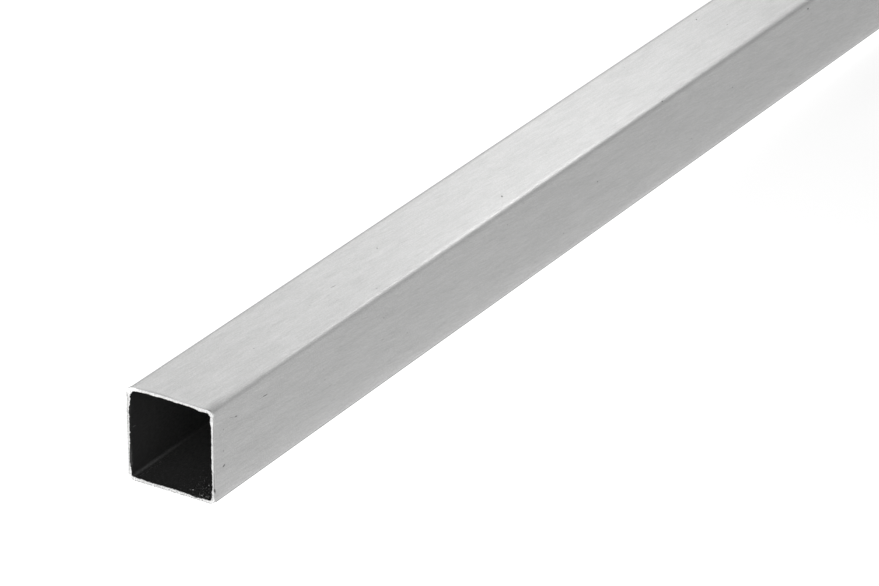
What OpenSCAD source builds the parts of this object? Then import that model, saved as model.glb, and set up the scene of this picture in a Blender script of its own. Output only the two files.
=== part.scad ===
// Square hollow bar: thin-wall stainless tube, cut square at both ends.
// Millimetres, +Z up. The bar lies along X on its bottom face, and the
// origin is the middle of that face.

/* [Section] */
// Outside width of each of the four faces
side_w = 25; // [15:0.5:40]
// Wall thickness
wall_t = 0.8; // [0.6:0.1:2]
// Radius of the four long outside edges
edge_r = 1.6; // [1.2:0.1:4]
// Smallest radius that the inside corners may have
bend_r_min = 0.3; // [0.1:0.1:0.5]

/* [Length] */
// Length between the two saw cuts
bar_l = 1000; // [300:10:3000]

/* [Hidden] */
// The wall is bent, so the inside corner is concentric with the outside one
bore_w = side_w - 2 * wall_t;
bore_r = max(edge_r - wall_t, bend_r_min);
// How far the bore's cutter runs past each saw cut
over = 1;
$fn = 48;

// Square with round corners, as two crossed strips and a disc in each corner
module rounded_square(w, r) {
    c = w / 2 - r;
    square([w, 2 * c], center = true);
    square([2 * c, w], center = true);
    for (sx = [-1, 1], sy = [-1, 1])
        translate([sx * c, sy * c])
            circle(r = r);
}

// Bar of that section, of length l, lying along X with its middle at the origin
module lying_bar(w, r, l) {
    rotate([90, 0, 90])
        linear_extrude(height = l, center = true)
            rounded_square(w, r);
}

// The one piece: a tube with a clear square bore from end to end
module square_tube() {
    color([0.74, 0.74, 0.73])
        translate([0, 0, side_w / 2])
            difference() {
                lying_bar(side_w, edge_r, bar_l);
                lying_bar(bore_w, bore_r, bar_l + 2 * over);
            }
}

square_tube();
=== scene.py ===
import math

import bpy
import numpy as np
from mathutils import Matrix, Vector


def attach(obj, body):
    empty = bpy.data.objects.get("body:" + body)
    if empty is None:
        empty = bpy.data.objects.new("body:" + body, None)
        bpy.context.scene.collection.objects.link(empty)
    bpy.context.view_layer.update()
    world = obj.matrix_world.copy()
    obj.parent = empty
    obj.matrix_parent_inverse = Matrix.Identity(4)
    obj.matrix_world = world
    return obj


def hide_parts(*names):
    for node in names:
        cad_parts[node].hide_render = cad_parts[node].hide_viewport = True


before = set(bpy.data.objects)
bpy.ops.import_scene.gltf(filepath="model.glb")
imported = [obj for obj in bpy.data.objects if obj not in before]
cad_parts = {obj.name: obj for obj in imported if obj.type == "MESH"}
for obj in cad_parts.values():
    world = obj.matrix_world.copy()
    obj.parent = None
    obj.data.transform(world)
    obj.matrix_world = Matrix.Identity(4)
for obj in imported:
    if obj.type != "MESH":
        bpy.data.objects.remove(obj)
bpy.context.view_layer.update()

# ---------------------------------------------------------------- sizes, metres
SIDE = 0.025          # outside width of the square section
WALL = 0.0008         # sheet thickness
EDGE_R = 0.0016       # outside radius of the long edges
EDGE_SOFT = (0.00035, 0.00056, 0.00035, 0.00035)   # how far the turn of each long edge runs out into the flats
SHOULDER = 0.0014     # fine points reach this far past each edge
CROWN = 0.006         # radians of turn spread along each flat
LENGTH = 1.0
HALF = LENGTH / 2


# ---------------------------------------------------------------- smooth noise on a closed ring or a line
def ring_noise(n, waves, seed, amp=1.0):
    """Smooth closed noise at n points: waves is a list of (how many waves fit the ring, strength)."""
    r = np.random.default_rng(seed)
    t = np.arange(n) / n * 2 * np.pi
    out = np.zeros(n)
    for k, a in waves:
        for kk in range(max(1, int(k * 0.7)), int(k * 1.4) + 2):
            out += a * r.normal() * np.cos(kk * t + r.uniform(0, 2 * np.pi)) / math.sqrt(max(1, 0.7 * k))
    return out * amp


# ---------------------------------------------------------------- the section
FLAT_N, ARC_N = 128, 64          # fine points on each flat and each corner
FINE = 4 * (FLAT_N + ARC_N)      # 768 round the section at the cut ends
STEP = 4                         # every fourth one goes on along the bar
COARSE = FINE // STEP


def section():
    """Points, outward normals and arc lengths round the section at FINE points, as (y, z).

    It starts in the middle of the bottom face and runs to -Y first. The turn of each corner is
    spread a little past its arc, as it is on a rolled tube, and the flats are very slightly crowned.
    """
    flat = SIDE - 2 * EDGE_R
    arc = EDGE_R * math.pi / 2
    per = 4 * (flat + arc)
    m = 16384
    s = (np.arange(m) + 0.5) * per / m
    turn, soft = np.zeros(m), np.zeros(m)
    freq = np.fft.rfftfreq(m, d=per / m)
    for k in range(4):
        a = flat / 2 + k * (flat + arc)
        one = np.where((s >= a) & (s < a + arc), (math.pi / 2) / arc, 0.0)
        turn += one
        soft += np.fft.irfft(np.fft.rfft(one) * np.exp(-2 * (np.pi * freq * EDGE_SOFT[k]) ** 2), m)
    flat_mask = (turn == 0)
    soft = soft * (1 - 4 * CROWN / (2 * math.pi)) + flat_mask * (4 * CROWN / (flat_mask.sum() * per / m))
    ang = np.cumsum(soft) * per / m
    ang = ang * (2 * math.pi / ang[-1])
    ang -= ang[0] / 2
    # direction of travel: along -Y on the bottom face at the start, turning clockwise seen from -X
    d = np.stack([-np.cos(ang), np.sin(ang)], 1)
    p = np.cumsum(d, 0) * per / m
    p -= p[0]
    p -= np.outer(np.arange(m) / m, p[-1] - p[0])
    p -= (p.max(0) + p.min(0)) / 2
    scale = SIDE / (p.max(0) - p.min(0))
    p *= scale
    nrm = np.stack([-np.sin(ang), -np.cos(ang)], 1)
    # FINE points: even steps on the flats, even steps in the arcs (with their soft shoulders)
    marks = []
    for k in range(4):
        a0 = k * (flat + arc) - flat / 2 + SHOULDER
        a1 = k * (flat + arc) + flat / 2 - SHOULDER
        a2 = a1 + arc + 2 * SHOULDER
        marks.append(a0 + (a1 - a0) * np.arange(FLAT_N) / FLAT_N)
        marks.append(a1 + (a2 - a1) * np.arange(ARC_N) / ARC_N)
    marks = np.concatenate(marks) % per
    idx = np.searchsorted(s, marks) % m
    return p[idx], nrm[idx], marks, per


P2, N2, S2, PERIMETER = section()
P2 = P2 + np.array([0.0, SIDE / 2])


def arc_coordinate():
    """Arc length that goes on rising past the start, so that it has one seam."""
    s = S2.copy()
    first = np.argmin(s)
    s = np.where(np.arange(FINE) < first, s - PERIMETER, s)
    return s


S_LIN = arc_coordinate()


# ---------------------------------------------------------------- the cut ends
S_MM = (S2 % PERIMETER) * 1000       # arc position in mm: 0 bottom middle, 24 -Y side, 49 top, 73 +Y side


def swell(at, half, amount):
    """Smooth bump round the section: centre and half width in mm, height in mm, result in metres."""
    d = np.abs((S_MM - at + PERIMETER * 500) % (PERIMETER * 1000) - PERIMETER * 500)
    return np.where(d < half, 0.5 + 0.5 * np.cos(np.pi * d / half), 0.0) * amount * 0.001


# what the saw left round the near end: (place, half width, height) in mm
NEAR_LIP = [(39.6, 1.9, 0.14), (36.6, 1.5, 0.28), (34.6, 1.6, 0.06), (56.0, 0.45, 0.10), (57.3, 0.5, 0.05),
            (52.4, 0.8, 0.09), (50.6, 0.5, -0.04), (47.2, 0.7, 0.05), (44.4, 0.6, -0.03), (42.4, 0.5, 0.05),
            (60.8, 1.5, 0.36), (63.6, 0.7, 0.10), (65.2, 0.4, 0.08), (72.5, 9.5, -0.17), (66.5, 0.35, 0.05),
            (69.6, 0.4, 0.09), (72.6, 0.35, 0.10), (75.6, 0.4, 0.08), (77.8, 0.35, 0.07), 
            (83.4, 1.0, 0.10), (85.1, 1.5, -0.24), (91.5, 0.45, -0.10), (89.2, 0.6, 0.05), (94.0, 0.7, -0.04),
            (1.2, 0.8, 0.04), (6.0, 0.8, -0.06), (9.6, 0.7, -0.05), (12.6, 1.0, 0.10), (17.8, 0.5, 0.04),
            (22.5, 0.8, -0.02), (27.0, 0.6, 0.03), (30.0, 0.8, -0.03),
            (6.9, 2.8, -0.24), (13.6, 2.4, 0.16), (19.3, 3.0, -0.12), (33.6, 1.6, 0.13), (48.5, 10.0, -0.13),
            (61.0, 2.5, 0.46), (67.0, 2.2, -0.19), (79.4, 5.0, -0.48), (73.5, 4.0, -0.05), (87.2, 2.2, 0.13),
            (97.0, 3.4, 0.10), (7.0, 1.0, -0.08), (15.0, 0.8, 0.15), (18.0, 0.8, -0.08), (28.5, 1.0, 0.06),
            (34.3, 1.6, 0.10), (37.2, 0.8, -0.11), (43.3, 4.4, -0.13), (55.8, 2.8, -0.13), (60.2, 2.3, 0.13), (61.7, 1.5, 0.15),
            (66.1, 0.7, -0.14), (69.6, 1.0, -0.11), (75.8, 1.1, -0.13), (80.0, 3.0, -0.18), (83.5, 1.0, -0.14),
            (85.6, 1.2, 0.21), (88.4, 1.0, 0.08), (91.0, 0.7, -0.07), (93.6, 1.1, 0.08)]
NEAR_ROLL = [(24.5, 12.5, 0.29), (36.5, 2.0, 0.16), (31.5, 2.5, -0.06), (12.6, 1.6, 0.16), (60.6, 1.4, 0.14),
             (91.3, 0.7, 0.12), (96.2, 0.6, 0.08), (87.0, 0.8, 0.10), (93.8, 0.5, 0.08), (15.9, 0.7, 0.10),
             (3.5, 0.7, 0.08), (6.8, 0.6, 0.09), (85.0, 1.2, 0.06), (13.0, 1.0, 0.16)]
NEAR_BURR = [(14.0, 0.42, 0.16), (12.9, 0.5, 0.05), (62.9, 0.4, 0.05), (86.8, 0.3, 0.06)]
NEAR_FLARE = [(52.0, 11.0, 0.27), (43.0, 8.0, 0.05), (61.0, 3.5, 0.12), (69.0, 11.0, 0.17), (87.0, 8.0, 0.05)]
FAR_LIP = [(8.0, 1.2, 0.10), (12.2, 1.3, 0.22), (31.0, 0.7, 0.07), (45.0, 0.9, 0.06), (60.8, 1.4, 0.20),
           (70.0, 0.6, 0.08), (85.2, 1.2, 0.12), (92.0, 0.6, -0.05)]
FAR_ROLL = [(20.0, 6.0, 0.06), (50.0, 8.0, 0.05), (37.0, 1.2, 0.12), (84.0, 1.0, 0.10)]
FAR_BURR = [(59.4, 0.5, 0.10), (11.4, 0.4, 0.06)]
FAR_FLARE = [(24.0, 10.0, 0.12), (50.0, 12.0, 0.08)]


def end_shape(seed, near):
    """Small uneven shape of one saw-cut end, at FINE points round the section, in metres.

    x_out, x_in: how far the face's outer and inner edges run back. lip: how far the inner lip
    leans into the bore, or below nought how far the inner edge is broken away. roll: how much
    of the outer edge is rounded off. burr: how far a sliver stands out of the outside skin.
    flare: how far the whole wall is pushed outwards at the cut.
    """
    x_out = ring_noise(FINE, [(3, 1.0), (14, 0.8), (60, 0.6), (150, 0.5)], seed, 0.000022)
    x_in = x_out + ring_noise(FINE, [(9, 1.0), (40, 1.0), (110, 1.0)], seed + 1, 0.00003)
    lip = 0.00003 + np.abs(ring_noise(FINE, [(5, 0.6), (24, 1.0), (70, 1.0), (140, 0.8)], seed + 2, 0.000048))
    roll = 0.00004 + np.abs(ring_noise(FINE, [(8, 1.0), (50, 0.8), (120, 0.6)], seed + 3, 0.000022))
    burr, flare = np.zeros(FINE), np.zeros(FINE)
    for item in (NEAR_LIP if near else FAR_LIP):
        lip = lip + swell(*item)
    for item in (NEAR_ROLL if near else FAR_ROLL):
        roll = roll + swell(*item)
    for item in (NEAR_BURR if near else FAR_BURR):
        burr = burr + swell(*item)
    for item in (NEAR_FLARE if near else FAR_FLARE):
        flare = flare + swell(*item)
    return x_out, x_in, np.clip(lip, -0.00046, 0.00078), np.clip(roll, 0.00002, 0.00036), burr, flare


def end_rings(sign, seed):
    """Rings of one end from the bar's outside, round the cut face, into the bore.

    Each ring is a list of FINE points. They run from far outside to far inside.
    """
    x_out, x_in, lip, roll, burr, flare = end_shape(seed, sign < 0)
    lean, broken = np.maximum(lip, 0), np.minimum(lip, 0)
    rings = []
    x_end = sign * HALF

    def ring(dx, inset):
        """dx: distance back from the nominal cut; inset: depth from the outside skin."""
        dx, inset = (np.broadcast_to(a, (FINE,)) for a in (dx, inset))
        out = flare * np.clip(1 - dx / 0.0022, 0, 1) ** 2
        q = P2 - N2 * (inset - out)[:, None]
        rings.append(np.column_stack([x_end - sign * dx, q]))

    one = np.ones(FINE)
    # outside skin towards the cut
    for d, k in ((0.0040, 0), (0.0026, 0.2), (0.0017, 0.6), (0.0011, 1.0), (0.0007, 1.3), (0.00040, 1.4)):
        ring(d * one + roll * k, 0 * one)
    # small roll of the outer edge
    ring(0.00016 * one + roll * 1.2, -burr * 0.10)
    ring(0.00004 * one + roll * 0.95 + x_out * 0.3, roll * 0.06 - burr * 0.45)
    ring(roll * 0.66 + x_out * 0.7, roll * 0.22 - burr)
    ring(roll * 0.28 + x_out, roll * 0.58 - burr * 0.85)
    ring(x_out - burr * 0.2, roll * 1.02 - burr * 0.3)
    # the face
    for f in (0.34, 0.5, 0.66):
        wob = ring_noise(FINE, [(60, 1.0), (150, 1.0)], seed + 10 + int(10 * f), 0.000012)
        depth = np.maximum((WALL + 1.1 * broken) * f, roll * (1.04 + 0.1 * f))
        ring(x_out * (1 - f) + x_in * f + wob, depth)
    # inner edge: it leans into the bore and stands a little proud, or is broken away
    ring(x_in - 0.00001, WALL * 0.86 + lean * 0.35 + broken * 0.88)
    ring(x_in + 0.00002, WALL + lean * 0.72 + broken)
    ring(x_in + 0.00008, WALL + lean + broken * 0.86)
    ring(x_in + 0.00018, WALL + lean * 0.75 + broken * 0.6)
    ring(x_in + 0.00034, WALL + lean * 0.3 + broken * 0.28)
    for d in (0.0006, 0.0010, 0.0017, 0.0026, 0.0040):
        ring(d * one, WALL + lean * (0.12 if d < 0.001 else 0.0))
    return rings


# ---------------------------------------------------------------- the whole tube as one closed mesh
THIRD = LENGTH / 3
N_SKIN, N_LIP = 9, 17          # bands of end_rings: outside skin up to 9, sawn face up to 17, then bore
pick = np.arange(0, FINE, STEP)


def tube():
    along = [0.0058, 0.0085, 0.012, 0.017, 0.024, 0.033]
    mid = list(np.linspace(0.043, THIRD, 31)[:-1]) + list(np.linspace(THIRD, 2 * THIRD, 35)[:-1]) \
        + list(np.linspace(2 * THIRD, LENGTH - 0.043, 31))
    xs = along + mid + [LENGTH - a for a in reversed(along)]
    near = end_rings(-1, 7)
    near_broken = end_shape(7, True)[2] < -0.00006
    far = end_rings(+1, 57)
    # closed loop of rings: near face, bore, far face, outside
    seq = list(near)
    for x in xs:
        seq.append(np.column_stack([np.full(COARSE, -HALF + x), P2[pick] - N2[pick] * WALL]))
    seq += list(reversed(far))
    for x in reversed(xs):
        seq.append(np.column_stack([np.full(COARSE, -HALF + x), P2[pick]]))
    counts = [len(r) for r in seq]
    starts = list(np.concatenate([[0], np.cumsum(counts)[:-1]]))
    total, n_near, n_x = len(seq), len(near), len(xs)

    def kind(i):
        """0 outside, 1 sawn face, 2 bore, for the band between ring i and the next."""
        if i >= n_near:
            if i < n_near + n_x:
                return 2
            i = 2 * n_near + n_x - 2 - i              # far end: the same band counted from its outside
        return 0 if i < N_SKIN else (1 if i < N_LIP else 2)

    faces, mats = [], []
    half = STEP // 2
    for i in range(total):
        k = (i + 1) % total
        a0, na, b0, nb = int(starts[i]), counts[i], int(starts[k]), counts[k]
        before = len(faces)
        if na == nb:
            for j in range(na):
                j2 = (j + 1) % na
                faces.append((a0 + j, b0 + j, b0 + j2, a0 + j2))
        elif na > nb:
            for j in range(nb):
                j2, f0 = (j + 1) % nb, j * STEP
                for q in range(half):
                    faces.append((a0 + (f0 + q) % na, b0 + j, a0 + (f0 + q + 1) % na))
                faces.append((a0 + (f0 + half) % na, b0 + j, b0 + j2))
                for q in range(half, STEP):
                    faces.append((a0 + (f0 + q) % na, b0 + j2, a0 + (f0 + q + 1) % na))
        else:
            for j in range(na):
                j2, f0 = (j + 1) % na, j * STEP
                for q in range(half):
                    faces.append((a0 + j, b0 + (f0 + q) % nb, b0 + (f0 + q + 1) % nb))
                faces.append((a0 + j, b0 + (f0 + half) % nb, a0 + j2))
                for q in range(half, STEP):
                    faces.append((a0 + j2, b0 + (f0 + q) % nb, b0 + (f0 + q + 1) % nb))
        kinds = [kind(i)] * (len(faces) - before)
        if i in (15, 16):                                 # where the inner edge is broken away it is dark
            kinds = [2 if near_broken[j] else 1 for j in range(FINE)]
        mats += kinds
    co = np.concatenate(seq)
    me = bpy.data.meshes.new("bar_tube")
    me.from_pydata([tuple(v) for v in co], [], [f[::-1] for f in faces])
    me.update()
    me.polygons.foreach_set("material_index", mats)
    me.polygons.foreach_set("use_smooth", [True] * len(faces))
    # arc position of each vertex, and its distance along the loop of rings
    arc = np.concatenate([S_LIN if c == FINE else S_LIN[pick] for c in counts])
    mean = [r if len(r) == COARSE else r[pick] for r in seq]
    gaps = [np.linalg.norm(mean[i + 1] - mean[i], axis=1).mean() for i in range(total - 1)]
    path = np.repeat(np.concatenate([[0], np.cumsum(gaps)]), counts)
    return me, co, arc, path


me, co, arc, path = tube()
print("tube", len(me.vertices), "vertices", len(me.polygons), "faces")
bar = bpy.data.objects.new("bar_tube", me)
bpy.context.scene.collection.objects.link(bar)


# ---------------------------------------------------------------- maps
def lay_maps():
    """Grain: (arc position, distance along the bar) in metres.

    OFBake: the outside as three strips of a third of the bar, then the bore at a smaller scale,
    then the two sawn faces at a larger one.
    """
    nl, nf = len(me.loops), len(me.polygons)
    vi, mat, ls, lt = (np.empty(k, int) for k in (nl, nf, nf, nf))
    me.loops.foreach_get("vertex_index", vi)
    me.polygons.foreach_get("material_index", mat)
    me.polygons.foreach_get("loop_start", ls)
    me.polygons.foreach_get("loop_total", lt)
    face_of = np.repeat(np.arange(nf), lt)
    s, x, p = arc[vi].copy(), co[vi, 0], path[vi]
    # faces across the seam: lift the low side by one perimeter
    smin, smax = np.minimum.reduceat(s, ls), np.maximum.reduceat(s, ls)
    crosses = (smax - smin) > PERIMETER / 2
    fix = crosses[face_of] & (s < smin[face_of] + PERIMETER / 2)
    s[fix] += PERIMETER
    grain = me.uv_layers.new(name="Grain")
    grain.data.foreach_set("uv", np.column_stack([s, x]).astype(np.float32).ravel())
    s = s - S_LIN.min() + 0.0003
    m = mat[face_of]
    xm = (np.add.reduceat(x, ls) / lt)[face_of] + HALF
    strip = np.clip(np.floor(xm / THIRD), 0, 2)
    unit = 1 / 0.3400                                     # map units per metre of the strips
    u = (x + HALF - strip * THIRD + 0.003) * unit
    v = (s + 0.0007) * unit + strip * 0.2915
    bore = m == 2
    u = np.where(bore, 0.004 + (x + HALF) * 0.992, u)
    v = np.where(bore, 0.8790 + s * 0.0850 / 0.0986, v)
    for far_end, v0 in ((False, 0.9685), (True, 0.9850)):
        sawn = (m == 1) & ((x > 0) == far_end)
        lo = p[sawn].min()
        u = np.where(sawn, 0.01 + s * 9.0, u)
        v = np.where(sawn, v0 + (p - lo) * 9.0, v)
    bake = me.uv_layers.new(name="OFBake")
    bake.data.foreach_set("uv", np.column_stack([u, v]).astype(np.float32).ravel())
    for k, name in enumerate(("outside", "sawn", "bore")):
        q = m == k
        print("map", name, u[q].min().round(4), u[q].max().round(4), v[q].min().round(4), v[q].max().round(4))


lay_maps()


# ---------------------------------------------------------------- node helpers
class Nodes:
    def __init__(self, tree):
        self.t = tree
        self.x = 0

    def new(self, kind, **props):
        n = self.t.nodes.new(kind)
        n.location = (self.x, 0)
        self.x += 160
        for k, v in props.items():
            setattr(n, k, v)
        return n

    def link(self, a, b):
        self.t.links.new(a, b)

    def put(self, socket, value):
        if hasattr(value, "is_output"):
            self.link(value, socket)
        else:
            socket.default_value = value

    def math(self, op, a, b=None, c=None, clamp=False):
        n = self.new("ShaderNodeMath", operation=op, use_clamp=clamp)
        for i, v in enumerate((a, b, c)):
            if v is not None:
                self.put(n.inputs[i], v)
        return n.outputs[0]

    def xyz(self, x, y, z=0.0):
        n = self.new("ShaderNodeCombineXYZ")
        for i, v in enumerate((x, y, z)):
            self.put(n.inputs[i], v)
        return n.outputs[0]

    def noise(self, vec, scale, detail=2.0, rough=0.5, dims="2D", distort=0.0):
        n = self.new("ShaderNodeTexNoise", noise_dimensions=dims)
        self.link(vec, n.inputs["Vector"])
        n.inputs["Scale"].default_value = scale
        n.inputs["Detail"].default_value = detail
        n.inputs["Roughness"].default_value = rough
        n.inputs["Distortion"].default_value = distort
        return n.outputs["Fac"]

    def ramp(self, fac, lo, hi, a=0.0, b=1.0, smooth=False):
        n = self.new("ShaderNodeMapRange", interpolation_type="SMOOTHSTEP" if smooth else "LINEAR")
        self.put(n.inputs["Value"], fac)
        for name, v in (("From Min", lo), ("From Max", hi), ("To Min", a), ("To Max", b)):
            n.inputs[name].default_value = v
        return n.outputs["Result"]


def material(name):
    m = bpy.data.materials.new(name)
    m.use_nodes = True
    m.node_tree.nodes.clear()
    n = Nodes(m.node_tree)
    out = n.new("ShaderNodeOutputMaterial")
    bsdf = n.new("ShaderNodeBsdfPrincipled")
    n.link(bsdf.outputs[0], out.inputs["Surface"])
    return m, n, bsdf


def grain_coords(n):
    uv = n.new("ShaderNodeUVMap", uv_map="Grain")
    sep = n.new("ShaderNodeSeparateXYZ")
    n.link(uv.outputs[0], sep.inputs[0])
    return sep.outputs[0], sep.outputs[1]        # arc position, distance along


def band(n, value, lo, hi, soft):
    """1 between lo and hi, with soft edges."""
    up = n.ramp(value, lo - soft, lo + soft, 0.0, 1.0, smooth=True)
    down = n.ramp(value, hi - soft, hi + soft, 1.0, 0.0, smooth=True)
    return n.math("MULTIPLY", up, down)


def side(z):
    return z + 11.81        # arc position in mm at height z on the -Y side


def top(y):
    return y + 48.63        # arc position in mm at y on the top face


# soft spots and scratches on the outside, in mm: arc position, distance from the near end,
# half width, half length, lean in degrees, how dark
MARKS = [
    (side(19.80), 9.25, 0.28, 0.84, 12, 0.45), (side(20.35), 7.3, 0.18, 1.5, 12, 0.24),
    (side(20.00), 21.6, 0.21, 1.65, 4, 0.54), (side(20.10), 19.6, 0.12, 1.6, 5, 0.24),
    (side(18.6), 3.9, 0.28, 0.34, 0, 0.36), (side(9.0), 3.85, 0.36, 0.72, -20, 0.60),
    (side(13.0), 3.75, 0.42, 0.48, 0, 0.24), (side(17.9), 2.3, 0.38, 0.48, 0, 0.15),
    (side(17.7), 28.0, 0.19, 0.26, 0, 0.14), (side(2.0), 31.1, 0.22, 0.32, 0, 0.18),
    (side(13.0), 47.6, 0.24, 0.62, 0, 0.22), (side(16.2), 47.0, 0.24, 0.36, 0, 0.20),
    (side(10.4), 50.0, 0.15, 1.6, 3, 0.17), (side(4.8), 60.1, 0.19, 0.26, 0, 0.16),
    (side(2.8), 68.0, 0.19, 0.26, 0, 0.16), (side(12.9), 73.6, 0.17, 1.25, 6, 0.20),
    (side(18.7), 74.2, 0.25, 0.36, 0, 0.36), (side(10.0), 85.0, 0.24, 0.36, 0, 0.26),
    (side(1.6), 92.5, 0.22, 0.34, 0, 0.22), (side(20.8), 133.0, 0.26, 0.40, 0, 0.30),
    (side(6.9), 161.7, 0.27, 0.42, 0, 0.36), (side(15.1), 179.0, 0.28, 0.42, 0, 0.56),
    (side(8.2), 230.1, 0.26, 0.40, 0, 0.28), (side(15.0), 253.0, 0.28, 0.44, 0, 0.42),
    (side(23.2), 296.6, 0.34, 0.50, 0, 0.90),
    (top(11.0), 17.6, 0.20, 0.42, 0, 0.12), (top(-2.0), 32.5, 0.27, 0.40, 0, 0.36),
    (top(8.9), 45.4, 0.24, 0.36, 0, 0.22), (top(1.2), 45.8, 0.18, 0.80, 2, 0.12),
    (top(-9.2), 42.2, 0.18, 0.80, 2, 0.12), (top(-0.4), 59.4, 0.24, 0.60, 0, 0.17),
    (top(-4.6), 65.5, 0.19, 1.20, 3, 0.19), (top(-1.2), 66.5, 0.19, 1.20, 3, 0.18),
    (top(-4.4), 63.2, 0.13, 2.9, 3, 0.09), (top(0.5), 71.4, 0.26, 1.35, 12, 0.32),
    (top(11.0), 75.4, 0.20, 0.80, 0, 0.12), (top(-9.2), 76.2, 0.26, 0.38, 0, 0.34),
    (top(3.2), 95.7, 0.28, 0.52, -33, 0.46), (top(-0.4), 102.6, 0.16, 3.1, 12, 0.17),
    (top(-7.2), 139.1, 0.32, 0.56, -33, 0.74), (top(-3.0), 168.3, 0.22, 0.50, 0, 0.18),
    (top(-0.7), 178.3, 0.24, 0.36, 0, 0.20), (36.90, 214.8, 0.34, 0.46, 0, 0.55),
    (top(8.1), 228.7, 0.25, 0.40, 0, 0.24), (top(8.1), 268.9, 0.32, 0.50, -33, 0.62),
    (top(-1.0), 270.3, 0.28, 0.48, 0, 0.40), (top(1.8), 4.6, 0.16, 0.90, 3, 0.10),
    (top(5.6), 36.5, 0.13, 2.4, 8, 0.06), (top(-6.2), 89.2, 0.13, 3.2, 6, 0.06),
    (top(6.6), 121.6, 0.14, 4.0, 10, 0.06), (top(2.4), 154.1, 0.13, 3.4, 9, 0.07),
]
# wider patches close to the cut: painted shade where the cut bent the skin, along the crease, at the bottom edge and
# at a notch, and one painted highlight where the depth is below nought; columns: arc position, distance, half width,
# half length, lean, how dark
CUT_SHADE_AND_HIGHLIGHT = [
    (top(-11.3), 0.3, 2.2, 6.5, 0, 0.13), (top(-10.3), 3.0, 2.1, 8.5, 0, 0.13), (top(-11.6), 6.0, 1.2, 22.0, 0, 0.06),
    (side(1.0), 0.0, 3.4, 3.2, 0, 0.10), (side(3.7), 0.12, 0.95, 0.42, 0, 0.66),
    (side(14.0), 2.9, 5.4, 0.85, 0, 0.030), (side(14.0), 1.6, 9.0, 0.5, 0, -0.02),
    (top(0.0), 0.0, 14.0, 1.3, 0, 0.05), (side(12.0), 0.2, 9.0, 0.9, 0, 0.04),
]


def spots(n, s, x, table, core):
    """Sum of the soft ellipses of a table; core is how much of each is at full depth."""
    leaned, total = {}, None
    for at_s, at_x, wide, long, lean, dark in table:
        k = math.tan(math.radians(lean))
        if lean not in leaned:
            leaned[lean] = n.xyz(n.math("MULTIPLY_ADD", x, k, s), x)
        cx = at_x * 0.001 - HALF
        cs = at_s * 0.001 + cx * k
        v = n.new("ShaderNodeVectorMath", operation="MULTIPLY_ADD")
        n.link(leaned[lean], v.inputs[0])
        v.inputs[1].default_value = (1000 / wide, 1000 / long, 0)
        v.inputs[2].default_value = (-cs * 1000 / wide, -cx * 1000 / long, 0)
        d = n.new("ShaderNodeVectorMath", operation="LENGTH")
        n.link(v.outputs[0], d.inputs[0])
        e = n.ramp(d.outputs["Value"], core, 1.0, dark, 0.0, smooth=True)
        total = e if total is None else n.math("ADD", total, e)
    return total


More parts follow.
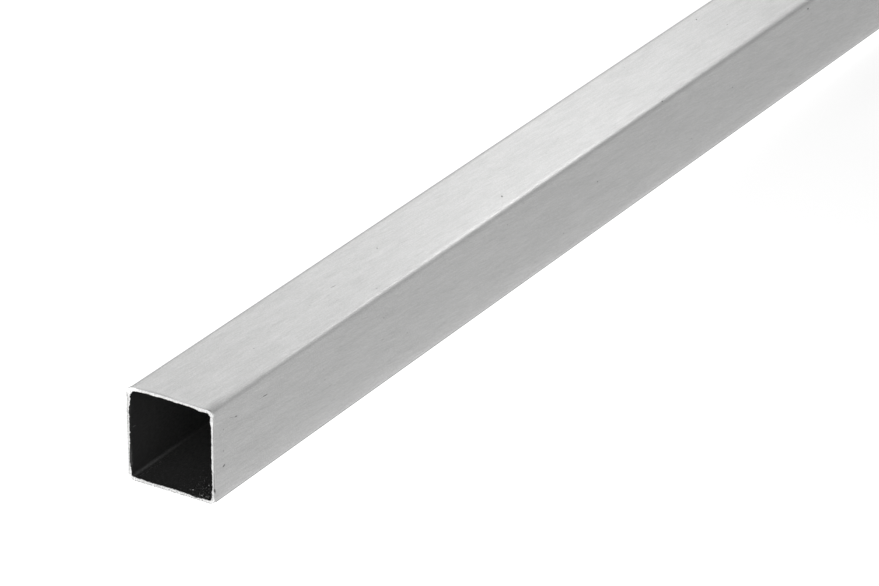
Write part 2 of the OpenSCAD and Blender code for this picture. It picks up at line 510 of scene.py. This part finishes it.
def brushed():
    m, n, b = material("brushed_outside")
    s, x = grain_coords(n)

    def strokes(angle, wide, long, detail, shift):
        """Noise drawn out along the bar: wide and long are the size of a stroke in metres."""
        sh = n.math("MULTIPLY_ADD", x, math.tan(math.radians(angle)), s)
        u = n.math("MULTIPLY", sh, 1 / wide)
        v = n.math("MULTIPLY", x, 1 / long)
        return n.noise(n.xyz(n.math("ADD", u, shift), v), 1.0, detail, 0.6)

    fine = strokes(3.0, 0.00022, 0.006, 2.0, 11.3)
    fine2 = strokes(8.0, 0.00040, 0.007, 1.0, 47.1)
    fine3 = strokes(-2.0, 0.00032, 0.005, 1.0, 211.7)
    mid = strokes(1.5, 0.0010, 0.026, 2.0, 83.7)
    long_ones = strokes(11.5, 0.00034, 0.011, 0.0, 171.9)
    broad = strokes(0.0, 0.006, 0.045, 2.0, 131.9)
    patch = strokes(4.0, 0.0026, 0.014, 1.0, 317.3)
    short = strokes(5.0, 0.00034, 0.0016, 1.0, 401.9)
    grain = strokes(0.0, 0.00030, 0.00045, 0.0, 523.1)
    mix = n.math("ADD", n.math("MULTIPLY", fine, 0.40), n.math("MULTIPLY", fine2, 0.25))
    mix = n.math("ADD", mix, n.math("MULTIPLY", fine3, 0.20))
    mix = n.math("ADD", mix, n.math("MULTIPLY", mid, 0.20))
    # single deeper strokes that lean more
    single = n.ramp(long_ones, 0.32, 0.20, 0.0, 0.042, smooth=True)
    # sparse pits and ticks away from the end that the marks above cover
    cell = n.new("ShaderNodeTexVoronoi", voronoi_dimensions="2D")
    cell.inputs["Scale"].default_value = 1.0
    n.link(n.xyz(n.math("MULTIPLY", s, 1 / 0.011), n.math("MULTIPLY", x, 1 / 0.017)), cell.inputs["Vector"])
    hue = n.new("ShaderNodeSeparateColor")
    n.link(cell.outputs["Color"], hue.inputs[0])
    keep = n.ramp(hue.outputs[0], 0.50, 0.90, 0.0, 0.09)
    pits = n.math("MULTIPLY", keep, n.ramp(cell.outputs["Distance"], 0.010, 0.024, 1.0, 0.0, smooth=True))
    away = n.math("MAXIMUM", n.ramp(x, -0.215, -0.205), n.math("MAXIMUM", n.ramp(s, 0.0615, 0.0620), n.ramp(s, 0.0120, 0.0115)))
    pits = n.math("MULTIPLY", pits, away)
    dark = n.math("ADD", spots(n, s, x, MARKS, 0.25), pits)
    # painted shade and one painted highlight near the cut are added here to the real marks, pits and strokes
    marks_and_painted_shade = n.math("ADD", spots(n, s, x, CUT_SHADE_AND_HIGHLIGHT, 0.0), n.math("ADD", dark, single))
    # colour
    val = n.ramp(mix, 0.35, 0.70, 0.922, 1.072)
    cloud = n.math("MULTIPLY", n.ramp(broad, 0.3, 0.7, 0.978, 1.022), n.ramp(patch, 0.3, 0.7, 0.980, 1.020))
    cloud = n.math("MULTIPLY", cloud, n.ramp(short, 0.3, 0.7, 0.968, 1.032))
    cloud = n.math("MULTIPLY", cloud, n.ramp(grain, 0.3, 0.7, 0.945, 1.055))
    val = n.math("MULTIPLY", val, cloud)
    val = n.math("MULTIPLY", val, n.math("SUBTRACT", 1.0, marks_and_painted_shade))
    col = n.new("ShaderNodeVectorMath", operation="SCALE")
    col.inputs[0].default_value = (0.411, 0.411, 0.409)
    n.link(val, col.inputs["Scale"])
    n.link(col.outputs[0], b.inputs["Base Color"])
    b.inputs["Metallic"].default_value = 1.0
    rough = n.math("ADD", n.ramp(mix, 0.35, 0.70, 0.36, 0.28), n.math("MULTIPLY", dark, 0.6))
    n.link(rough, b.inputs["Roughness"])
    b.inputs["Specular Tint"].default_value = (0.8, 0.8, 0.8, 1)
    b.inputs["Anisotropic"].default_value = 0.75
    tan = n.new("ShaderNodeTangent", direction_type="UV_MAP", uv_map="Grain")
    n.link(tan.outputs[0], b.inputs["Tangent"])
    bump = n.new("ShaderNodeBump")
    bump.inputs["Strength"].default_value = 0.12
    bump.inputs["Distance"].default_value = 0.00004
    n.link(n.math("SUBTRACT", mix, n.math("MULTIPLY", dark, 4.0)), bump.inputs["Height"])
    n.link(bump.outputs[0], b.inputs["Normal"])
    return m


def sawn():
    m, n, b = material("sawn_edge")
    s, x = grain_coords(n)
    tc = n.new("ShaderNodeTexCoord")

    def grit(sx, sy, sz, detail):
        sc = n.new("ShaderNodeVectorMath", operation="MULTIPLY")
        n.link(tc.outputs["Object"], sc.inputs[0])
        sc.inputs[1].default_value = (sx, sy, sz)
        return n.noise(sc.outputs[0], 1.0, detail, 0.6, "3D")

    g = grit(1500, 2200, 700, 3.0)
    speck = n.ramp(grit(2600, 2900, 2900, 1.0), 0.47, 0.36, 0.0, 1.0, smooth=True)
    left = band(n, s, 0.0618, 0.0842, 0.0006)
    foot = n.math("ADD", n.ramp(s, 0.0845, 0.0860, 0.0, 1.0), n.ramp(s, 0.0105, 0.0120, 1.0, 0.0))
    foot = n.math("MINIMUM", foot, 1.0)
    val = n.ramp(g, 0.3, 0.7, 0.90, 1.06)
    val = n.math("MULTIPLY", val, n.math("MULTIPLY_ADD", left, n.math("MULTIPLY_ADD", speck, -0.25, -0.04), 1.0))
    val = n.math("MULTIPLY", val, n.math("MULTIPLY_ADD", foot, n.math("MULTIPLY_ADD", speck, -0.38, -0.08), 1.0))
    val = n.math("MULTIPLY", val, n.math("MULTIPLY_ADD", speck, -0.22, 1.02))
    # two corners are lighter
    light_corners = n.math("MULTIPLY_ADD", band(n, s, 0.0838, 0.0870, 0.0006), 0.35, band(n, s, 0.0582, 0.0624, 0.0005))
    val = n.math("MULTIPLY", val, n.math("MULTIPLY_ADD", light_corners, 0.17, 1.0))
    # and some stretches are duller
    dull = n.math("MULTIPLY_ADD", band(n, s, 0.0153, 0.0198, 0.0006), 2.0, band(n, s, 0.0128, 0.0325, 0.0008))
    dull = n.math("MULTIPLY_ADD", band(n, s, 0.0262, 0.0308, 0.0006), 0.6, dull)
    dull = n.math("ADD", dull, band(n, s, 0.0375, 0.0575, 0.0010))
    dull = n.math("MULTIPLY_ADD", band(n, s, 0.0775, 0.0825, 0.0008), 0.6, dull)
    val = n.math("MULTIPLY", val, n.math("MULTIPLY_ADD", dull, -0.10, 1.0))
    # the outer edge that the saw bent over shows the brushed skin, and a notch in it gets painted shade
    at = n.new("ShaderNodeSeparateXYZ")
    n.link(tc.outputs["Object"], at.inputs[0])
    y, z = at.outputs[1], at.outputs[2]
    skin_and_notch_shade = n.math("MULTIPLY", n.ramp(y, -0.01212, -0.01224, 0.0, 0.50), band(n, s, 0.0135, 0.0355, 0.0006))
    skin_and_notch_shade = n.math("MAXIMUM", skin_and_notch_shade, n.math("MULTIPLY", n.ramp(y, 0.01205, 0.01222, 0.0, 0.22), left))
    under = n.math("MULTIPLY", n.ramp(z, 0.00050, 0.00030, 0.0, 0.24), n.ramp(grit(1300, 700, 400, 1.0), 0.38, 0.56, 0.2, 1.0, smooth=True))
    skin_and_notch_shade = n.math("MAXIMUM", skin_and_notch_shade, under)
    # painted shade: the notch in the outer edge on the -Y side is darkened as if in shadow
    notch_shade = n.math("MULTIPLY", band(n, s, 0.01525, 0.01615, 0.00015), n.ramp(y, -0.01205, -0.01216, 0.0, 0.85))
    skin_and_notch_shade = n.math("MAXIMUM", skin_and_notch_shade, notch_shade)
    val = n.math("MULTIPLY", val, n.math("SUBTRACT", 1.0, skin_and_notch_shade))
    col = n.new("ShaderNodeVectorMath", operation="SCALE")
    col.inputs[0].default_value = (0.77, 0.77, 0.766)
    n.link(val, col.inputs["Scale"])
    n.link(col.outputs[0], b.inputs["Base Color"])
    b.inputs["Metallic"].default_value = 1.0
    n.link(n.ramp(g, 0.3, 0.7, 0.62, 0.45), b.inputs["Roughness"])
    bump = n.new("ShaderNodeBump")
    bump.inputs["Strength"].default_value = 0.35
    bump.inputs["Distance"].default_value = 0.00006
    n.link(n.math("MULTIPLY_ADD", speck, -0.5, g), bump.inputs["Height"])
    n.link(bump.outputs[0], b.inputs["Normal"])
    return m


def bore():
    """Dull dark scale inside; painted shade makes it darker at the mouths, where the light falls in, and a little
    lighter away from them; a painted highlight runs along the bent corners near the mouths, and painted light makes
    the bottom wall lighter.
    """
    m, n, b = material("dark_bore")
    s, x = grain_coords(n)
    u = n.math("MULTIPLY", s, 1 / 0.0006)
    v = n.math("MULTIPLY", x, 1 / 0.0011)
    g = n.noise(n.xyz(u, v), 1.0, 3.0, 0.6)
    grit = n.noise(n.xyz(n.math("MULTIPLY", s, 1 / 0.00035), n.math("MULTIPLY", x, 1 / 0.00045)), 1.0, 1.0, 0.5)
    deep = n.math("MINIMUM", n.math("SUBTRACT", HALF, x), n.math("ADD", x, HALF))      # depth from the nearer mouth
    low = n.math("ADD", n.ramp(s, 0.0100, 0.0125, 1.0, 0.0), n.ramp(s, 0.0845, 0.0870, 0.0, 1.0))
    # painted shade: darkest at the mouths, where most light falls in, lighter deeper in
    val = n.ramp(deep, 0.0, 0.045, 0.017, 0.155)
    # painted light: the bottom wall is made half as light again
    val = n.math("MULTIPLY", val, n.math("MULTIPLY_ADD", low, 0.50, 1.0))
    corner = None
    for c in (0.01216, 0.03647, 0.06079, 0.08510):
        k = n.ramp(n.math("ABSOLUTE", n.math("SUBTRACT", s, c)), 0.0001, 0.0012, 1.0, 0.0)
        corner = k if corner is None else n.math("ADD", corner, k)
    # painted highlight: the bent corners are lightened most near the mouths, standing in for the mouth's reflection
    # in them
    corner_highlight = n.math("MULTIPLY", corner, n.ramp(deep, 0.002, 0.024, 2.8, 0.45))
    val = n.math("MULTIPLY", val, n.math("ADD", corner_highlight, 1.0))
    val = n.math("MULTIPLY", val, n.ramp(g, 0.3, 0.7, 0.75, 1.25))
    # dust and grit on the bottom wall near the mouth
    dust = n.math("MULTIPLY", n.ramp(grit, 0.62, 0.74, 0.0, 1.0, smooth=True), n.ramp(deep, 0.003, 0.030, 1.0, 0.12))
    side_dust = n.ramp(s, 0.0, 0.0115, 0.35, 1.0)
    dust = n.math("MULTIPLY", n.math("MULTIPLY", dust, low), side_dust)
    val = n.math("ADD", val, n.math("MULTIPLY", dust, 0.20))
    val = n.math("ADD", val, spots(n, s, x, [(71.7, 1.7, 0.15, 1.00, 0, 0.13)], 0.2))
    n.link(n.xyz(val, val, val), b.inputs["Base Color"])
    b.inputs["Metallic"].default_value = 0.35
    n.link(n.ramp(corner, 0.0, 1.0, 0.50, 0.34), b.inputs["Roughness"])
    bump = n.new("ShaderNodeBump")
    bump.inputs["Strength"].default_value = 0.25
    bump.inputs["Distance"].default_value = 0.00008
    n.link(n.math("ADD", g, dust), bump.inputs["Height"])
    n.link(bump.outputs[0], b.inputs["Normal"])
    return m


for mat in (brushed(), sawn(), bore()):
    me.materials.append(mat)
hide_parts("square_tube")
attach(bar, "root")


# ---------------------------------------------------------------- saw filings just inside the near end
def filings():
    """Small bent slivers that lie on the bore's bottom wall, as one joined mesh of closed chips."""
    r = np.random.default_rng(23)
    verts, faces = [], []
    floor_z = WALL

    def chip(x, y, size, turn, bend, lift):
        """Closed sliver: five cuts of a thin bar that tapers at both ends and curls up."""
        first = len(verts)
        c, q = math.cos(turn), math.sin(turn)
        for i, f in enumerate(np.linspace(-1, 1, 5)):
            w = size * 0.24 * (1 - 0.75 * abs(f)) * r.uniform(0.8, 1.2)
            h = size * 0.10 * (1 - 0.6 * abs(f)) + 0.000012
            a = f * size * 0.5
            rise = lift * (f * f) * size * 0.5
            side_way = bend * f * f * size * 0.35
            for dw, dh in ((-w, 0), (w, 0), (w * 0.5, 2 * h), (-w * 0.5, 2 * h)):
                lx, ly = a, side_way + dw
                verts.append((x + c * lx - q * ly, y + q * lx + c * ly, floor_z + 0.00001 + rise + dh))
        for i in range(4):
            p0, p1 = first + 4 * i, first + 4 * i + 4
            for j in range(4):
                k = (j + 1) % 4
                faces.append((p0 + j, p1 + j, p1 + k, p0 + k))
        faces.append((first, first + 1, first + 2, first + 3))
        faces.append((first + 19, first + 18, first + 17, first + 16))

    # the larger ones: distance from the cut, place across and size in mm
    placed = [(2.43, -4.49, 0.55), (1.22, -7.80, 0.60), (1.25, -9.24, 0.50), (1.10, -8.90, 0.45), (1.60, -9.60, 0.45),
              (1.00, -9.80, 0.40), (2.61, -8.88, 0.50), (6.29, -6.36, 0.42), (4.41, -6.10, 0.42), (7.40, -4.45, 0.30),
              (9.29, -3.65, 0.28), (3.04, -4.88, 0.30), (1.38, -7.03, 0.36), (1.89, -7.83, 0.36), (8.70, -2.15, 0.24),
              (9.00, -2.81, 0.24), (11.9, -0.90, 0.24), (0.76, 6.12, 0.30), (1.67, 5.16, 0.28), (1.66, 2.83, 0.22)]
    for x, y, size in placed:
        chip(-HALF + x * 0.001, y * 0.001, size * 0.00088, r.uniform(0, math.pi), r.uniform(-0.7, 0.7), r.uniform(0.3, 1.0))
    for _ in range(170):
        x = -HALF + 0.0005 + r.gamma(1.7, 0.0022)
        y = -0.0110 + min(r.gamma(1.3, 0.0023), 0.014)
        chip(x, y, r.uniform(0.00010, 0.00026), r.uniform(0, math.pi), r.uniform(-0.7, 0.7), r.uniform(0.1, 0.9))
    fm = bpy.data.meshes.new("saw_filings")
    fm.from_pydata(verts, [], [f[::-1] for f in faces])
    fm.update()
    ob = bpy.data.objects.new("saw_filings", fm)
    bpy.context.scene.collection.objects.link(ob)
    m, n, b = material("bright_filings")
    tc = n.new("ShaderNodeTexCoord")
    sc = n.new("ShaderNodeVectorMath", operation="MULTIPLY")
    n.link(tc.outputs["Object"], sc.inputs[0])
    sc.inputs[1].default_value = (5000, 5000, 5000)
    g = n.noise(sc.outputs[0], 1.0, 2.0, 0.6, "3D")
    col = n.new("ShaderNodeVectorMath", operation="SCALE")
    col.inputs[0].default_value = (0.40, 0.40, 0.397)
    n.link(n.ramp(g, 0.3, 0.7, 0.45, 1.1), col.inputs["Scale"])
    n.link(col.outputs[0], b.inputs["Base Color"])
    b.inputs["Metallic"].default_value = 1.0
    n.link(n.ramp(g, 0.3, 0.7, 0.55, 0.30), b.inputs["Roughness"])
    bump = n.new("ShaderNodeBump")
    bump.inputs["Strength"].default_value = 0.4
    bump.inputs["Distance"].default_value = 0.00002
    n.link(g, bump.inputs["Height"])
    n.link(bump.outputs[0], b.inputs["Normal"])
    fm.materials.append(m)
    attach(ob, "root")


filings()


# ---------------------------------------------------------------- floor
def floor():
    """Pale matt sheet that gives off light of its own, as a light table does: even away from the bar, with painted
    pools of light near it and a painted shadow under it.
    """
    fm = bpy.data.meshes.new("floor")
    r, z = 12.0, -0.00005
    fm.from_pydata([(-r, -r, z), (r, -r, z), (r, r, z), (-r, r, z)], [], [(0, 1, 2, 3)])
    ob = bpy.data.objects.new("floor", fm)
    bpy.context.scene.collection.objects.link(ob)
    m, n, b = material("floor_white")
    b.inputs["Base Color"].default_value = (0.12, 0.12, 0.12, 1)
    b.inputs["Roughness"].default_value = 0.9
    b.inputs["Emission Color"].default_value = (1, 1, 1, 1)
    tc = n.new("ShaderNodeTexCoord")
    sep = n.new("ShaderNodeSeparateXYZ")
    n.link(tc.outputs["Object"], sep.inputs[0])
    x, y = sep.outputs[0], sep.outputs[1]
    # painted pools of light: the glow is stronger towards the near end, behind the bar and in a strip in front of it
    glow = n.math("ADD", n.ramp(x, -0.55, -0.10, 0.106, 0.0, smooth=True), n.ramp(x, -0.35, 0.10, 0.173, 0.0, smooth=True))
    glow = n.math("ADD", glow, 0.662)
    glow = n.math("ADD", glow, n.ramp(y, 0.0108, 0.036, 0.0, 0.13, smooth=True))
    glow = n.math("ADD", glow, n.math("MULTIPLY", n.ramp(x, -0.24, -0.16, 0.0, 0.07, smooth=True), n.ramp(y, -0.030, -0.048, 0.0, 1.0, smooth=True)))
    # the sheet is even away from the bar and along its far half
    glow = n.math("MAXIMUM", glow, n.ramp(n.math("ABSOLUTE", y), 0.050, 0.110, 0.0, 0.86, smooth=True))
    even = n.ramp(x, -0.13, -0.03, 0.0, 1.0, smooth=True)
    glow = n.math("ADD", n.math("MULTIPLY", glow, n.math("SUBTRACT", 1.0, even)), n.math("MULTIPLY", even, 0.86))
    # a painted pool of light, a little stronger at the bar's foot, and a painted shadow, dark under the bar, where it
    # can't be seen
    away = n.math("MAXIMUM", n.math("SUBTRACT", -0.0125, y), 0.0)
    foot = n.math("ADD", n.math("MULTIPLY", n.math("EXPONENT", n.math("MULTIPLY", away, -1 / 0.008)), 0.121),
                  n.math("MULTIPLY", n.math("EXPONENT", n.math("MULTIPLY", away, -1 / 0.0020)), 0.26))
    foot = n.math("MULTIPLY", foot, n.math("MAXIMUM", n.math("LESS_THAN", y, 0.0), n.math("LESS_THAN", x, -HALF)))
    foot = n.math("MULTIPLY", foot, n.ramp(x, HALF - 0.030, HALF + 0.004, 1.0, 0.0, smooth=True))
    clear = n.math("MAXIMUM", n.ramp(y, -0.01180, -0.01140, 1.0, 0.0), n.ramp(x, -HALF + 0.0012, -HALF + 0.0020, 1.0, 0.0))
    clear = n.math("MAXIMUM", clear, n.ramp(y, 0.0102, 0.0108, 0.0, 1.0))
    clear = n.math("MAXIMUM", clear, n.ramp(x, HALF - 0.0020, HALF - 0.0012, 0.0, 1.0))
    n.link(n.math("MULTIPLY", n.math("ADD", glow, foot), clear), b.inputs["Emission Strength"])
    fm.materials.append(m)


floor()


# ---------------------------------------------------------------- light
def sky():
    """Soft studio light: a pale room, a little dimmer above the camera."""
    w = bpy.data.worlds.new("studio")
    bpy.context.scene.world = w
    w.use_nodes = True
    w.node_tree.nodes.clear()
    n = Nodes(w.node_tree)
    out = n.new("ShaderNodeOutputWorld")
    bg = n.new("ShaderNodeBackground")
    n.link(bg.outputs[0], out.inputs["Surface"])
    tc = n.new("ShaderNodeTexCoord")

    def lobe(direction, strength, width):
        d = Vector(direction).normalized()
        dot = n.new("ShaderNodeVectorMath", operation="DOT_PRODUCT")
        n.link(tc.outputs["Generated"], dot.inputs[0])
        dot.inputs[1].default_value = d
        k = 1 / (1 - math.cos(math.radians(width)))
        e = n.math("MULTIPLY", n.math("SUBTRACT", dot.outputs["Value"], 1.0), k)
        return n.math("MULTIPLY", n.math("EXPONENT", e), strength)

    parts = [
        lobe((0.0, -1.0, 0.20), 2.58, 40),           # bright wall low on the -Y side
        lobe((0.764, 0.645, 0.03), 0.30, 20),        # a paler one low behind the bar
        lobe((-1.0, 0.1, 0.1), 0.70, 45),            # and a paler one past the near end
    ]
    total = 0.40
    for p in parts:
        total = n.math("ADD", p, total)
    n.link(total, bg.inputs["Strength"])
    bg.inputs["Color"].default_value = (1, 1, 1, 1)


def soft_box(name, turn, x, away, across, along, radiance):
    """Soft box that hangs beside the bar and faces it.

    turn: degrees round the bar from +Y upwards; x: place along the bar; away: distance from the
    bar's axis; across, along: its sides; radiance: how bright its face is.
    """
    la = bpy.data.lights.new(name, "AREA")
    la.shape = "RECTANGLE"
    la.size, la.size_y = across, along
    la.energy = radiance * math.pi * across * along
    t = math.radians(turn)
    out = Vector((0, math.cos(t), math.sin(t)))
    side = Vector((0, -math.sin(t), math.cos(t)))
    ob = bpy.data.objects.new(name, la)
    ob.matrix_world = Matrix((side, Vector((1, 0, 0)), out)).transposed().to_4x4()
    ob.matrix_world.translation = Vector((x, 0, SIDE / 2)) + out * away
    ob.visible_camera = False
    bpy.context.scene.collection.objects.link(ob)
    return ob


sky()
soft_box("box_low", 24, 0.48, 0.70, 0.25, 0.95, 0.55)
soft_box("box_long", 45, 0.48, 0.70, 0.25, 0.95, 1.72)
soft_box("box_mid", 56, 0.55, 0.70, 0.12, 0.25, 2.10)
soft_box("box_high", 64, 0.45, 0.70, 0.12, 0.30, 0.96)
soft_box("box_high_edge", 72, 0.45, 0.70, 0.10, 0.30, 3.55)
soft_box("box_over_near", 80, 0.25, 0.70, 0.20, 0.35, 1.08)
soft_box("box_over_far", 80, 0.60, 0.70, 0.20, 0.35, 2.30)
soft_box("box_front", 106, 0.45, 0.70, 0.14, 0.60, 1.24)


# ---------------------------------------------------------------- camera
def camera():
    yaw, pitch, roll = (math.radians(a) for a in (31.7706, 25.9484, 0.2898))
    fwd = Vector((math.cos(yaw) * math.cos(pitch), math.sin(yaw) * math.cos(pitch), -math.sin(pitch)))
    right = Vector((math.sin(yaw), -math.cos(yaw), 0))
    up = right.cross(fwd)
    r2 = right * math.cos(roll) + up * math.sin(roll)
    u2 = up * math.cos(roll) - right * math.sin(roll)
    cam = bpy.data.cameras.new("camera")
    cam.sensor_width = 36
    cam.lens = 196.22
    cam.clip_start = 0.05
    ob = bpy.data.objects.new("camera", cam)
    m = Matrix((r2, u2, -fwd)).transposed().to_4x4()
    m.translation = Vector((-1.319413, -0.582015, 0.541145))
    ob.matrix_world = m
    bpy.context.scene.collection.objects.link(ob)
    bpy.context.scene.camera = ob


camera()
vs = bpy.context.scene.view_settings
vs.view_transform = "Standard"
vs.look = "None"
vs.exposure = 0.0
vs.gamma = 1.0
